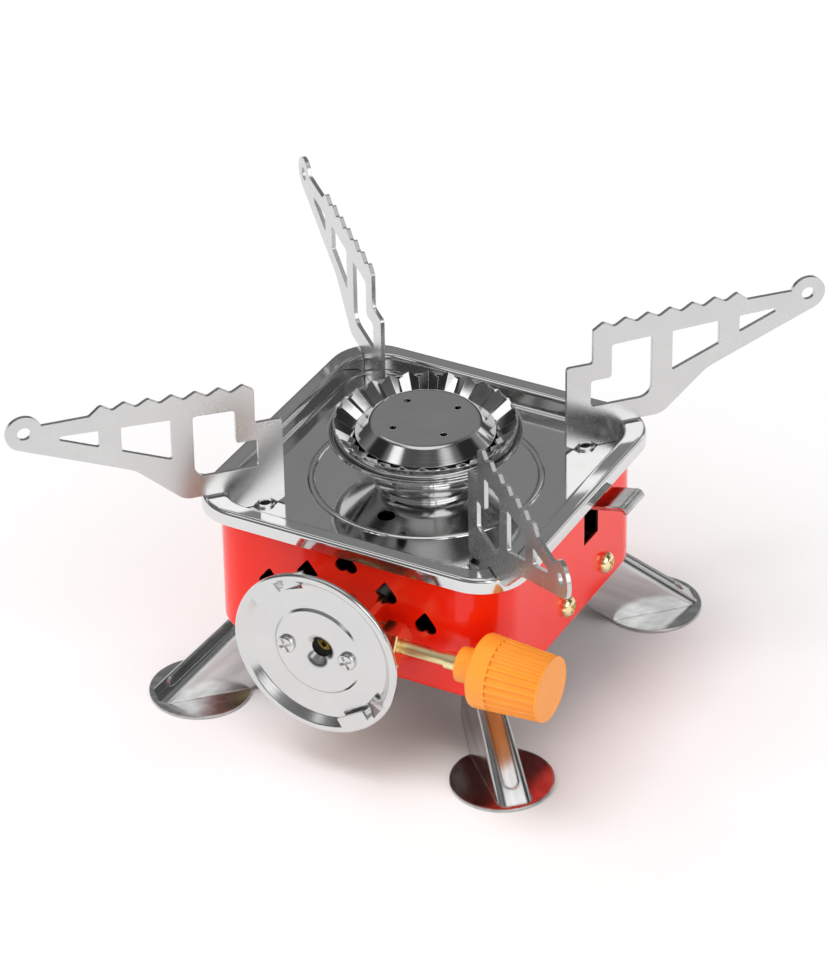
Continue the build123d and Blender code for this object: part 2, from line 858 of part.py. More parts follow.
with BuildPart() as connector_dish:
    with BuildSketch(dish_plane):
        with BuildLine():
            FilletPolyline(
                (dish_inlet_radius, dish_boss_depth + dish_funnel_depth),
                (dish_mouth_radius, dish_boss_depth + half_sheet),
                (dish_boss_radius, dish_boss_depth + half_sheet),
                (dish_boss_radius + dish_sheet, dish_floor_depth + half_sheet),
                (dish_floor_radius, dish_floor_depth + half_sheet),
                (dish_wall_radius, half_sheet),
                (dish_radius - half_sheet, half_sheet),
                (dish_radius - half_sheet, half_sheet + dish_sheet),
                radius=[
                    *(dish_mouth_round, dish_edge_round, dish_edge_round),
                    *(dish_floor_round, dish_rim_round, dish_edge_round),
                ],
            )
        trace(line_width=dish_sheet)
    revolve(axis=dish_axis)
    with BuildSketch(across_y(dish_y, z=valve_z)):
        for angle in claw_window_angles:
            with PolarLocations(dish_floor_radius + half_sheet, 1, start_angle=angle):
                Rectangle(claw_reach, claw_window)
        with Locations(*dish_screw_places):
            Circle(dish_screw_radius + screw_gap)
    extrude(amount=-(dish_floor_depth + 2 * dish_sheet), mode=Mode.SUBTRACT)
    with BuildSketch(across_y(dish_y, z=valve_z)):
        for angle in claw_angles:
            with PolarLocations(dish_wall_radius + half_sheet - claw_reach / 2, 1, start_angle=angle):
                Rectangle(claw_reach, claw_width)
    extrude(amount=-dish_sheet)
    for angle in claw_window_angles:
        window = across_y(dish_y + dish_floor_depth + half_sheet, z=valve_z).location
        window *= Location((0, 0, 0), (0, 0, angle)) * Location((dish_floor_radius + half_sheet, 0, 0))
        with Locations(window * Location((0, 0, -claw_tongue_drop / 2), (tongue_turn, 0, 0))):
            Box(claw_reach, tongue_long, dish_sheet)
connector_dish.part.label = "connector_dish"
export_step(connector_dish.part, "parts/connector_dish.step")

valve_face = dish_y + dish_boss_depth + dish_sheet
dish_screw_y = dish_y + dish_boss_depth

with BuildPart() as dish_screws:
    with BuildSketch(across_y(dish_screw_y, z=valve_z)):
        with Locations(*dish_screw_places):
            Circle(dish_screw_head_radius)
    extrude(amount=dish_screw_head_height)
    fillet(dish_screws.edges().group_by(Axis.Y)[0], radius=dish_screw_head_height * 0.7)
    with BuildSketch(across_y(dish_screw_y - dish_screw_head_height, z=valve_z)):
        with Locations(*dish_screw_places):
            Rectangle(2.4 * dish_screw_radius, cross_width, rotation=30)
            Rectangle(cross_width, 2.4 * dish_screw_radius, rotation=30)
    extrude(amount=-cross_depth, mode=Mode.SUBTRACT)
    with BuildSketch(across_y(dish_screw_y, z=valve_z)):
        with Locations(*dish_screw_places):
            Circle(dish_screw_radius)
    extrude(amount=-dish_screw_length)
dish_screws.part.label = "dish_screws"
export_step(dish_screws.part, "parts/dish_screws.step")


# Valve: body behind the dish, seal, gland, spindle, nut inside the casing and the jet
block_face = dish_y + dish_floor_depth + 2 * dish_sheet
seal_y = dish_y + dish_boss_depth + dish_funnel_depth + dish_sheet
spindle_hole = spindle_radius + spindle_fit
inlet_end = spindle_y - spindle_hole - inlet_wall

with BuildPart() as valve_body:
    with BuildSketch(across_y(block_face, z=valve_z)):
        RectangleRounded(valve_width, valve_tall, valve_round)
    extrude(amount=block_face + wall)
    with BuildSketch(across_y(block_face, z=valve_z)):
        Circle(valve_pad_radius)
    extrude(amount=block_face - valve_face)
    with BuildSketch(across_y(-wall, z=valve_z)):
        Circle(stem_radius)
    extrude(amount=-stem_length)
    with BuildSketch(across_x(0, spindle_y, spindle_z)):
        Circle(boss_radius)
    extrude(amount=boss_reach)
    with BuildSketch(across_y(valve_face, z=valve_z)):
        Circle(dish_mouth_radius + dish_sheet)
    extrude(amount=-(seal_y - valve_face), mode=Mode.SUBTRACT)
    with BuildSketch(across_y(seal_y, z=valve_z)):
        Circle(seal_radius)
    extrude(amount=-seal_thickness, mode=Mode.SUBTRACT)
    with BuildSketch(across_y(seal_y, z=valve_z)):
        Circle(inlet_bore)
    extrude(amount=-(inlet_end - seal_y), mode=Mode.SUBTRACT)
    with BuildSketch(across_y(inlet_end, z=valve_z)):
        Circle(gas_way)
    extrude(amount=-(stem_length - wall - inlet_end), mode=Mode.SUBTRACT)
    with BuildSketch(across_y(valve_face, z=valve_z)):
        with Locations(*dish_screw_places):
            Circle(dish_screw_radius + screw_gap)
    extrude(amount=-dish_screw_length, mode=Mode.SUBTRACT)
    with BuildSketch(across_x(boss_reach, spindle_y, spindle_z)):
        Circle(spindle_hole)
    extrude(amount=-boss_reach, mode=Mode.SUBTRACT)
valve_body.part.label = "valve_body"
export_step(valve_body.part, "parts/valve_body.step")

with BuildPart() as inlet_seal:
    with BuildSketch(across_y(seal_y, z=valve_z)):
        Circle(seal_radius)
        Circle(seal_bore, mode=Mode.SUBTRACT)
    extrude(amount=-seal_thickness)
inlet_seal.part.label = "inlet_seal"
export_step(inlet_seal.part, "parts/inlet_seal.step")

with BuildPart() as gland_nut:
    with BuildSketch(across_x(boss_reach, spindle_y, spindle_z)):
        RegularPolygon(gland_flats / 2, 6, major_radius=False)
        Circle(spindle_hole, mode=Mode.SUBTRACT)
    extrude(amount=gland_length)
    chamfer(gland_nut.edges().group_by(Axis.X)[-1], length=spindle_fit * 5)
gland_nut.part.label = "gland_nut"
export_step(gland_nut.part, "parts/gland_nut.step")

knob_x = wall - knob_start
spindle_tip = knob_x + knob_socket
spindle_inner = gas_way + inlet_wall

with BuildPart() as valve_spindle:
    with BuildSketch(across_x(spindle_inner, spindle_y, spindle_z)):
        Circle(spindle_radius)
    extrude(amount=spindle_tip - spindle_inner)
    with BuildSketch(across_x(knob_x - spindle_end_length, spindle_y, spindle_z)):
        Circle(spindle_end_radius)
    extrude(amount=spindle_end_length)
    chamfer(valve_spindle.edges().group_by(Axis.X)[0], length=spindle_radius / 2)
valve_spindle.part.label = "valve_spindle"
export_step(valve_spindle.part, "parts/valve_spindle.step")

knob_plane = Plane(origin=(knob_x, spindle_y, spindle_z), x_dir=(1, 0, 0), z_dir=(0, -1, 0))
knob_body_end = knob_collar_length + knob_length
knob_taper = degrees(atan2(knob_radius - knob_end_radius, knob_length))
flute_long = knob_length - flute_start - flute_stop
flute_middle = knob_collar_length + flute_start + flute_long / 2
flute_share = (flute_start + flute_long / 2) / knob_length
flute_circle = knob_radius - (knob_radius - knob_end_radius) * flute_share
flute_circle += flute_radius * 0.25

with BuildPart() as control_knob:
    with BuildSketch(knob_plane):
        with BuildLine():
            FilletPolyline(
                (0, 0),
                (0, knob_collar_radius),
                (knob_collar_length, knob_collar_radius),
                (knob_collar_length, knob_radius),
                (knob_body_end, knob_end_radius),
                (knob_body_end, 0),
                radius=[knob_collar_round, knob_collar_round, knob_round, knob_round, 0, 0],
                close=True,
            )
        make_face()
    revolve(axis=Axis((knob_x, spindle_y, spindle_z), (1, 0, 0)))
    with BuildSketch(across_x(knob_x, spindle_y, spindle_z)):
        Circle(spindle_radius)
    extrude(amount=knob_socket, mode=Mode.SUBTRACT)
    with Locations(across_x(knob_x + flute_middle, spindle_y, spindle_z).location):
        with PolarLocations(flute_circle, flute_count):
            Cylinder(flute_radius, flute_long, rotation=(0, -knob_taper, 0), mode=Mode.SUBTRACT)
control_knob.part.label = "control_knob"
export_step(control_knob.part, "parts/control_knob.step")

with BuildPart() as valve_nut:
    with BuildSketch(across_y(-wall_inside, z=valve_z)):
        RegularPolygon(valve_nut_flats / 2, 6, major_radius=False)
        Circle(stem_radius, mode=Mode.SUBTRACT)
    extrude(amount=-valve_nut_height)
valve_nut.part.label = "valve_nut"
export_step(valve_nut.part, "parts/valve_nut.step")

jet_start_y = jet_end_y - jet_holder_length

with BuildPart() as gas_jet:
    with BuildSketch(across_y(jet_start_y, z=valve_z)):
        Circle(jet_holder_radius)
    extrude(amount=-jet_holder_length)
    with BuildSketch(across_y(jet_end_y, z=valve_z)):
        Circle(jet_radius)
    extrude(amount=-jet_length)
    with BuildSketch(across_y(jet_start_y, z=valve_z)):
        Circle(stem_radius)
    extrude(amount=-(stem_length - casing_sheet - valve_nut_height), mode=Mode.SUBTRACT)
    with BuildSketch(across_y(jet_start_y, z=valve_z)):
        Circle(jet_hole_radius)
    extrude(amount=-(jet_holder_length + jet_length), mode=Mode.SUBTRACT)
gas_jet.part.label = "gas_jet"
export_step(gas_jet.part, "parts/gas_jet.step")


# Igniter: bracket screwed to the right wall, lever on its pin, piezo unit under the lever
lever_turn = radians(lever_slope)
lever_lift = lever_knuckle_radius - lever_sheet / 2
lever_start = (pivot_x - lever_lift * sin(lever_turn), pivot_z + lever_lift * cos(lever_turn))
lever_end_x = wall + lever_reach
lever_long = (lever_end_x - lever_start[0]) / cos(lever_turn)


def along_lever(distance, drop=0.0):
    """Point on the lever's middle line, or below it, at a distance from the knuckle."""
    x = lever_start[0] + distance * cos(lever_turn) + drop * sin(lever_turn)
    return (x, lever_start[1] + distance * sin(lever_turn) - drop * cos(lever_turn))


lever_tab_from = (wall + lever_tab_start - lever_start[0]) / cos(lever_turn)

with BuildPart() as igniter_lever:
    with BuildSketch(across_y(lever_front)):
        with BuildLine():
            Line(lever_start, along_lever(lever_tab_from + margin))
        trace(line_width=lever_sheet)
        with Locations((pivot_x, pivot_z)):
            Circle(lever_knuckle_radius)
            Circle(lever_pin_radius + lever_pin_fit, mode=Mode.SUBTRACT)
    extrude(amount=-lever_arm_width)
    with BuildSketch(across_y(lever_front)):
        with BuildLine():
            FilletPolyline(
                along_lever(lever_tab_from),
                along_lever(lever_long),
                along_lever(lever_long, lever_lip),
                radius=lever_lip_round,
            )
        trace(line_width=lever_sheet)
    extrude(amount=-lever_tab_width)
igniter_lever.part.label = "igniter_lever"
export_step(igniter_lever.part, "parts/igniter_lever.step")

cheek_gap = lever_arm_width + 2 * bracket_gap
cheek_front = lever_y - cheek_gap / 2 - bracket_sheet
cheek_wide = cheek_gap + 2 * bracket_sheet
bracket_floor = ground_clearance + casing_sheet + bracket_floor_height
bracket_x = wall_inside - seat_gap
post_x = pivot_x - bracket_post_length / 2
cheek_low_z = bracket_floor + bracket_cheek_height
ear_y = [y + k * bracket_ear for y, k in zip(bracket_screw_y, (-1, 1))]

with BuildPart() as igniter_bracket:
    with BuildSketch(across_y(cheek_front)):
        with BuildLine():
            Polyline(
                (post_x, bracket_floor),
                (bracket_x, bracket_floor),
                (bracket_x, cheek_low_z),
                (post_x + bracket_post_length, cheek_low_z),
                (post_x + bracket_post_length, pivot_z + lever_knuckle_radius),
                (post_x, pivot_z + lever_knuckle_radius),
                close=True,
            )
        make_face()
    extrude(amount=-cheek_wide)
    with BuildSketch(across_y(lever_y - cheek_gap / 2)):
        with Locations((post_x - margin, bracket_floor + bracket_sheet)):
            reach = bracket_x - bracket_sheet - post_x + margin
            Rectangle(reach, pivot_z, align=(Align.MIN, Align.MIN))
    extrude(amount=-cheek_gap, mode=Mode.SUBTRACT)
    with BuildSketch(across_x(bracket_x)):
        with Locations((sum(ear_y) / 2, bracket_floor + bracket_flange_height / 2)):
            Rectangle(ear_y[1] - ear_y[0], bracket_flange_height)
    extrude(amount=-bracket_sheet)
    with BuildSketch(across_x(bracket_x)):
        with Locations((lever_y, cheek_low_z)):
            cheek_open = 2 * (cheek_low_z - bracket_floor - bracket_flange_height)
            Rectangle(cheek_gap, cheek_open)
        with Locations(*[(y, bracket_screw_z) for y in bracket_screw_y]):
            Circle(bracket_screw_radius + screw_gap)
    extrude(amount=-bracket_sheet, mode=Mode.SUBTRACT)
    with BuildSketch(across_y(cheek_front)):
        with Locations((pivot_x, pivot_z)):
            Circle(lever_pin_radius)
    extrude(amount=-cheek_wide, mode=Mode.SUBTRACT)
igniter_bracket.part.label = "igniter_bracket"
export_step(igniter_bracket.part, "parts/igniter_bracket.step")

with BuildPart() as lever_pin:
    with BuildSketch(across_y(cheek_front, pivot_x, pivot_z)):
        Circle(lever_pin_radius)
    extrude(amount=-cheek_wide)
    with BuildSketch(across_y(cheek_front, pivot_x, pivot_z)):
        Circle(lever_knuckle_radius)
    extrude(amount=bracket_sheet)
lever_pin.part.label = "lever_pin"
export_step(lever_pin.part, "parts/lever_pin.step")

with BuildPart() as bracket_screws:
    with BuildSketch(right_wall):
        with Locations(*[(y, bracket_screw_z) for y in bracket_screw_y]):
            Circle(bracket_screw_head_radius)
    extrude(amount=bracket_screw_head_height)
    fillet(bracket_screws.edges().group_by(Axis.X)[-1], radius=bracket_screw_head_height * 0.85)
    with BuildSketch(across_x(wall + bracket_screw_head_height)):
        with Locations(*[(y, bracket_screw_z) for y in bracket_screw_y]):
            Rectangle(2 * bracket_screw_radius, cross_width, rotation=40)
            Rectangle(cross_width, 2 * bracket_screw_radius, rotation=40)
    extrude(amount=-cross_depth, mode=Mode.SUBTRACT)
    with BuildSketch(right_wall):
        with Locations(*[(y, bracket_screw_z) for y in bracket_screw_y]):
            Circle(bracket_screw_radius)
    extrude(amount=-bracket_screw_length)
bracket_screws.part.label = "bracket_screws"
export_step(bracket_screws.part, "parts/bracket_screws.step")

piezo_x = wall - piezo_inset
piezo_floor = bracket_floor + bracket_sheet
piezo_top = pivot_z - piezo_drop
plunger_round = plunger_side / 3
touch_x = piezo_x - plunger_side / 2 + plunger_round * (1 - sin(lever_turn))
lever_under = lever_lift - lever_sheet / 2
touch_z = pivot_z + (touch_x - pivot_x) * tan(lever_turn) + lever_under / cos(lever_turn)
plunger_top = touch_z + plunger_round * (1 - cos(lever_turn)) - lever_rest_gap

with BuildPart() as piezo_body:
    with BuildSketch(Plane.XY.offset(piezo_floor)):
        with Locations((piezo_x, lever_y)):
            RectangleRounded(piezo_length, cheek_gap - 2 * piezo_gap, margin)
    extrude(amount=piezo_top - piezo_floor)
    with BuildSketch(Plane.XY.offset(piezo_top)):
        with Locations((piezo_x, lever_y)):
            Rectangle(plunger_side + 2 * plunger_gap, plunger_side + 2 * plunger_gap)
    extrude(amount=-plunger_pocket, mode=Mode.SUBTRACT)
piezo_body.part.label = "piezo_body"
export_step(piezo_body.part, "parts/piezo_body.step")

with BuildPart() as piezo_plunger:
    with BuildSketch(Plane.XY.offset(piezo_top - plunger_engage)):
        with Locations((piezo_x, lever_y)):
            Rectangle(plunger_side, plunger_side)
    extrude(amount=plunger_top - piezo_top + plunger_engage)
    fillet(
        piezo_plunger.edges().group_by(Axis.Z)[-1].filter_by(Axis.Y), radius=plunger_round
    )
piezo_plunger.part.label = "piezo_plunger"
export_step(piezo_plunger.part, "parts/piezo_plunger.step")

lead_z = piezo_floor + lead_height
electrode_low = floor_under - insulator_below - lead_drop

with BuildPart() as ignition_lead:
    with BuildLine() as lead_route:
        FilletPolyline(
            (piezo_x - piezo_length / 2, lever_y, lead_z),
            (pivot_x / 2, lever_y, lead_z),
            (electrode_x, electrode_y, lead_z),
            (electrode_x, electrode_y, electrode_low),
            radius=lead_bend,
        )
    with BuildSketch(Plane(origin=lead_route.wires()[0] @ 0, z_dir=(-1, 0, 0))):
        Circle(lead_radius)
    sweep(path=lead_route.wires()[0])
ignition_lead.part.label = "ignition_lead"
export_step(ignition_lead.part, "parts/ignition_lead.step")

with BuildPart() as electrode_insulator:
    for level, radius, height in (
        (floor_under - insulator_below, insulator_radius, insulator_below + tray_sheet + insulator_above),
        (floor_under, insulator_shoulder, -insulator_shoulder_height),
    ):
        with BuildSketch(Plane.XY.offset(level)):
            with Locations((electrode_x, electrode_y)):
                Circle(radius)
                Circle(electrode_radius + electrode_fit, mode=Mode.SUBTRACT)
        extrude(amount=height)
electrode_insulator.part.label = "electrode_insulator"
export_step(electrode_insulator.part, "parts/electrode_insulator.step")

with BuildPart() as electrode:
    with BuildSketch(Plane.XY.offset(electrode_low)):
        with Locations((electrode_x, electrode_y)):
            Circle(electrode_radius)
    extrude(amount=floor_top + electrode_top - electrode_low)
electrode.part.label = "electrode"
export_step(electrode.part, "parts/electrode.step")
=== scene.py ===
from math import cos, radians, sin

import bpy
from mathutils import Matrix, Vector


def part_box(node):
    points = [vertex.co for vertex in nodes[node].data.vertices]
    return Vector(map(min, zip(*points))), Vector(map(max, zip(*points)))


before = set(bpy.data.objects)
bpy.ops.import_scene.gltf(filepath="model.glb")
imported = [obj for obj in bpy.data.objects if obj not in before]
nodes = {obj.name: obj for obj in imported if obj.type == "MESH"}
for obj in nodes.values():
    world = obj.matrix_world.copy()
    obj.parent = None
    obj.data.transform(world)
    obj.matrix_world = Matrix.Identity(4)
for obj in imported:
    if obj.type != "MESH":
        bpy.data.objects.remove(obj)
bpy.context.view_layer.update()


# Casing: a deep-drawn steel box, enamelled red in one thick glossy coat. Faces that don't face outwards
# carry painted shade instead of the red: dark red, and near black where they face inwards. Five
# heart-shaped air vents are punched through the front, and the lever's slot through the side.
class Finish:
    """One socket among a finish's nodes. Sums and products of sockets add Math nodes."""

    def __init__(self, tree, socket=None):
        self.tree = tree
        self.socket = socket

    def make(self, kind, settings=None, sockets=None, out=0):
        """Adds a node: its settings first, then the values or links of its sockets."""
        node = self.tree.nodes.new("ShaderNode" + kind)
        for name, value in (settings or {}).items():
            if name == "stops":
                stops = node.color_ramp.elements
                for number, (at, shade) in enumerate(value):
                    stop = stops[number] if number < 2 else stops.new(at)
                    stop.position = at
                    stop.color = (shade, shade, shade, 1)
            else:
                setattr(node, name, value)
        for name, value in (sockets or {}).items():
            if isinstance(value, Finish):
                self.tree.links.new(value.socket, node.inputs[name])
            else:
                node.inputs[name].default_value = value
        return Finish(self.tree, node.outputs[out])

    def maths(self, operation, first, second):
        return self.make("Math", {"operation": operation}, {0: first, 1: second})

    def __add__(self, other):
        return self.maths("ADD", self, other)

    def __radd__(self, other):
        return self.maths("ADD", other, self)

    def __sub__(self, other):
        return self.maths("SUBTRACT", self, other)

    def __rsub__(self, other):
        return self.maths("SUBTRACT", other, self)

    def __mul__(self, other):
        return self.maths("MULTIPLY", self, other)

    def __rmul__(self, other):
        return self.maths("MULTIPLY", other, self)


def finish(name, **constants):
    """A new material with one Principled surface, the maker of its nodes, and the spot on the piece."""
    made = bpy.data.materials.new(name)
    made.use_nodes = True
    surface = made.node_tree.nodes["Principled BSDF"]
    for socket, value in constants.items():
        surface.inputs[socket.replace("_", " ")].default_value = value
    brush = Finish(made.node_tree)
    return made, brush, brush.make("TexCoord", out="Object")


def feed(made, **links):
    """Links what changes over the surface to the material's Principled sockets."""
    surface = made.node_tree.nodes["Principled BSDF"]
    for socket, value in links.items():
        made.node_tree.links.new(value.socket, surface.inputs[socket.replace("_", " ")])


def grain(brush, where, scale, detail, **more):
    """Soft noise, with about as many lumps to the metre as the scale says."""
    return brush.make("TexNoise", sockets={"Vector": where, "Scale": scale, "Detail": detail, **more})


def tones(brush, share, first, second):
    """A colour that goes from the first tone to the second one with the share."""
    ends = [tone if isinstance(tone, Finish) else (*tone, 1) for tone in (first, second)]
    return brush.make("Mix", {"data_type": "RGBA"}, {0: share, 6: ends[0], 7: ends[1]}, out=2)


def relief(brush, height, strength, edge=0.0):
    """Relief of a tenth of a millimetre at most, over edges broken by a small radius in metres."""
    depth = 0.0001
    sockets = {"Strength": strength, "Distance": depth, "Height": height}
    if edge:
        sockets["Normal"] = brush.make("Bevel", {"samples": 4}, {"Radius": edge})
    return brush.make("Bump", sockets=sockets)


def dress(made, *names):
    """Gives one or more CAD nodes a finish all over."""
    for name in names:
        mesh = nodes[name].data
        mesh.materials.clear()
        mesh.materials.append(made)


deep_red, clear_red = (0.90, 0.012, 0.002), (0.96, 0.018, 0.003)
# Painted shade: a dark red for faces that don't face outwards, near black for faces that face inwards.
underside_painted_shade, inside_painted_shade = (0.16, 0.012, 0.007), (0.020, 0.019, 0.019)
wall_reach = 0.012
enamel, brush, spot = finish("red_enamel", Specular_IOR_Level=0.42)
outward = brush.make("VectorMath", {"operation": "MULTIPLY"}, {0: spot, 1: (1, 1, 0)})
normal = brush.make("TexCoord", out="Normal")
facing = brush.make("VectorMath", {"operation": "DOT_PRODUCT"}, {0: outward, 1: normal}, out="Value")
# Faces that don't face outwards take the painted shade in place of the red enamel.
painted_shade_faces = brush.maths("LESS_THAN", facing, wall_reach)
inside = brush.maths("LESS_THAN", facing, -wall_reach)
flow = grain(brush, spot, scale=60, detail=3)
peel = grain(brush, spot, scale=1100, detail=2)
red = tones(brush, flow, deep_red, clear_red)
painted_shade_tone = tones(brush, inside, underside_painted_shade, inside_painted_shade)
feed(
    enamel,
    Base_Color=tones(brush, painted_shade_faces, red, painted_shade_tone),
    Roughness=0.10 + flow * 0.09 + painted_shade_faces * 0.2,
    Normal=relief(brush, peel, 0.05),
)
dress(enamel, "casing")


# Legs: hat-section channels pressed from steel strip, each with a round foot, bright plated.
# The press draws the sheet lengthwise, so the plating is streaked down the leg. One pattern is
# folded over all four corners and laid along the legs' slope.
corners = ("front_right", "rear_right", "rear_left", "front_left")
leg_turn, leg_slope = radians(45), radians(30)
dark_streak, light_streak = (0.22, 0.22, 0.22), (0.90, 0.90, 0.895)
bright_press, brush, spot = finish("bright_pressing", Metallic=1.0)
folded = brush.make("VectorMath", {"operation": "ABSOLUTE"}, {0: spot})
straight = brush.make("Mapping", sockets={"Vector": folded, "Rotation": (0, 0, -leg_turn)})
level = brush.make("Mapping", sockets={"Vector": straight, "Rotation": (0, -leg_slope, 0)})
drawn = brush.make("Mapping", sockets={"Vector": level, "Scale": (35, 420, 420)})
streak = grain(brush, drawn, scale=1.0, detail=4)
bloom = grain(brush, spot, scale=90, detail=4, Roughness=0.6)
feed(
    bright_press,
    Base_Color=tones(brush, streak * 0.7 + bloom * 0.3, dark_streak, light_streak),
    Roughness=0.10 + streak * 0.08 + bloom * 0.08,
    Normal=relief(brush, streak, 0.16, edge=0.0007),
)
dress(bright_press, *[f"leg_{corner}" for corner in corners])


# Leg rivets: turned from mild steel, zinc plated, headed over inside the casing.
# The same dull plating is on every nut, clip and plain fitting inside the stove.
blue_zinc, pale_zinc = (0.54, 0.55, 0.56), (0.70, 0.70, 0.69)
zinc, brush, spot = finish("zinc_plate", Metallic=1.0)
spangle = brush.make("TexVoronoi", {"distance": "CHEBYCHEV"}, {"Vector": spot, "Scale": 900})
bloom = grain(brush, spot, scale=300, detail=4)
feed(
    zinc,
    Base_Color=tones(brush, bloom, blue_zinc, pale_zinc),
    Roughness=0.20 + bloom * 0.16 + spangle * 0.10,
    Normal=relief(brush, bloom, 0.12, edge=0.00015),
)
dress(zinc, "leg_rivets")


# Drip tray: a square of stainless sheet, drawn to a shallow well and rolled over the casing's flange.
# It is buffed along its length, so fine straight scratches and hand marks lie over the mirror.
handled_steel, clean_steel = (0.64, 0.64, 0.64), (0.80, 0.80, 0.795)
buffed, brush, spot = finish("buffed_stainless", Metallic=1.0)
along = brush.make("Mapping", sockets={"Vector": spot, "Scale": (45, 2600, 900)})
scratch = grain(brush, along, scale=1.0, detail=5)
wiped = grain(brush, spot, scale=42, detail=5, Roughness=0.62)
feed(
    buffed,
    Base_Color=tones(brush, wiped, handled_steel, clean_steel),
    Roughness=0.02 + scratch * 0.06 + wiped * 0.07,
    Normal=relief(brush, scratch, 0.03),
)
dress(buffed, "top_tray")


# Burner base, cup and cap: spun from thin steel on a lathe, then polished, and clamped to the tray.
# The tool leaves rings round the burner's axis, which break the reflections into fine arcs.
def turned_rings(brush, spot, centre, across, pitch):
    """Fine rings round an axis: how far out a spot lies, as bands of the tool's pitch."""
    moved = brush.make("VectorMath", {"operation": "SUBTRACT"}, {0: spot, 1: centre})
    flat = brush.make("VectorMath", {"operation": "MULTIPLY"}, {0: moved, 1: across})
    out = brush.make("VectorMath", {"operation": "LENGTH"}, {0: flat}, out="Value")
    sockets = {"W": out * (1 / pitch), "Scale": 1.0, "Detail": 3}
    return brush.make("TexNoise", {"noise_dimensions": "1D"}, sockets)


hazy_steel, polished_steel = (0.60, 0.60, 0.60), (0.74, 0.74, 0.735)
spun, brush, spot = finish("spun_steel", Metallic=1.0)
rings = turned_rings(brush, spot, centre=(0, 0, 0), across=(1, 1, 0), pitch=0.00022)
haze = grain(brush, spot, scale=130, detail=4)
feed(
    spun,
    Base_Color=tones(brush, haze, hazy_steel, polished_steel),
    Roughness=0.03 + rings * 0.06 + haze * 0.06,
    Normal=relief(brush, rings, 0.02, edge=0.0002),
)
dress(spun, "burner_base", "burner_cup", "burner_cap")


# Flame ring: a strip of thin bright steel folded into pleats and set on a hoop inside the cup.
# Each fold keeps the mill's mirror, with a little dullness where the folding rollers pinched it.
pinched_strip, mill_strip = (0.64, 0.64, 0.64), (0.80, 0.80, 0.795)
pleated, brush, spot = finish("pleated_strip", Metallic=1.0)
pinch = grain(brush, spot, scale=420, detail=3)
feed(
    pleated,
    Base_Color=tones(brush, pinch, pinched_strip, mill_strip),
    Roughness=0.03 + pinch * 0.10,
    Normal=relief(brush, pinch, 0.06, edge=0.00012),
)
dress(pleated, "flame_ring")


# Mixing tube and its nut: bent steel tube under the tray, which carries gas and air to the burner.
# The nut clamps the burner and the tray together from below. Both are zinc plated.
dress(zinc, "mixing_tube", "burner_nut")


# Pan supports: blanked from steel plate with saw teeth and windows, then satin plated.
# The plating is even and fine grained, and the punched edges are bright where the die sheared them.
shaded_plate, frosted_plate = (0.58, 0.58, 0.58), (0.70, 0.70, 0.695)
satin, brush, spot = finish("satin_plate", Metallic=1.0)
frost = grain(brush, spot, scale=1600, detail=2)
cloud = grain(brush, spot, scale=75, detail=4, Roughness=0.6)
feed(
    satin,
    Base_Color=tones(brush, cloud * 0.8 + frost * 0.2, shaded_plate, frosted_plate),
    Roughness=0.21 + frost * 0.03 + cloud * 0.08,
    Normal=relief(brush, frost, 0.01, edge=0.0002),
)
dress(satin, *[f"pan_support_{corner}" for corner in corners])


# Eyelets and clips: the supports' stems turn in rolled steel eyelets in the tray, polished like the
# burner, and zinc plated spring clips hold them from below.
dress(spun, "support_eyelets")
dress(zinc, *[f"support_clip_{corner}" for corner in corners])


# Igniter inside the casing: a folded bracket, its pin, the piezo unit and the lead to the electrode.
# The piezo's case and plunger are black moulded plastic. The lead is sleeved in white silicone, and
# the electrode's insulator is as white.
dress(zinc, "igniter_bracket", "lever_pin", "electrode")
deep_black, worn_black = (0.018, 0.018, 0.019), (0.040, 0.040, 0.042)
moulded, brush, spot = finish("black_moulding")
spark = grain(brush, spot, scale=900, detail=3)
feed(
    moulded,
    Base_Color=tones(brush, spark, deep_black, worn_black),
    Roughness=0.34 + spark * 0.22,
    Normal=relief(brush, spark, 0.15),
)
dress(moulded, "piezo_body", "piezo_plunger")

cream_white, clean_white = (0.74, 0.71, 0.66), (0.84, 0.82, 0.78)
sleeve, brush, spot = finish("white_sleeve")
mottle = grain(brush, spot, scale=500, detail=3)
feed(
    sleeve,
    Base_Color=tones(brush, mottle, cream_white, clean_white),
    Roughness=0.16 + mottle * 0.18,
)
dress(sleeve, "electrode_insulator", "ignition_lead")


# Igniter lever: a strip of bright sheet with a bent thumb tab, pressed and plated like the legs.
# It passes through the casing's slot and pivots on the bracket's pin.
dress(bright_press, "igniter_lever")


# Bracket screws: cross-headed, pressed from pale brass, through the right wall into the bracket.
# The same brass, turned, makes the valve's body, gland and jet behind the connector, and a zinc
# plated nut holds the valve inside the casing.
dark_brass, light_brass = (0.90, 0.74, 0.37), (0.98, 0.86, 0.54)
brass, brush, spot = finish("pale_brass", Metallic=1.0)
lathe = grain(brush, spot, scale=700, detail=3)
feed(
    brass,
    Base_Color=tones(brush, lathe, dark_brass, light_brass),
    Roughness=0.12 + lathe * 0.16,
    Normal=relief(brush, lathe, 0.08, edge=0.00015),
)
dress(brass, "bracket_screws", "valve_body", "gland_nut", "gas_jet")
dress(zinc, "valve_nut")


# Valve spindle: a drawn brass rod between the gland and the knob.
# It is duller than the turned pieces, with the die's marks along it.
dark_rod, light_rod = (0.90, 0.76, 0.38), (0.99, 0.89, 0.54)
rod, brush, spot = finish("drawn_brass", Metallic=1.0)
drawn = brush.make("Mapping", sockets={"Vector": spot, "Scale": (120, 2500, 2500)})
line = grain(brush, drawn, scale=1.0, detail=3)
feed(
    rod,
    Base_Color=tones(brush, line, dark_rod, light_rod),
    Roughness=0.34 + line * 0.12,
)
dress(rod, "valve_spindle")


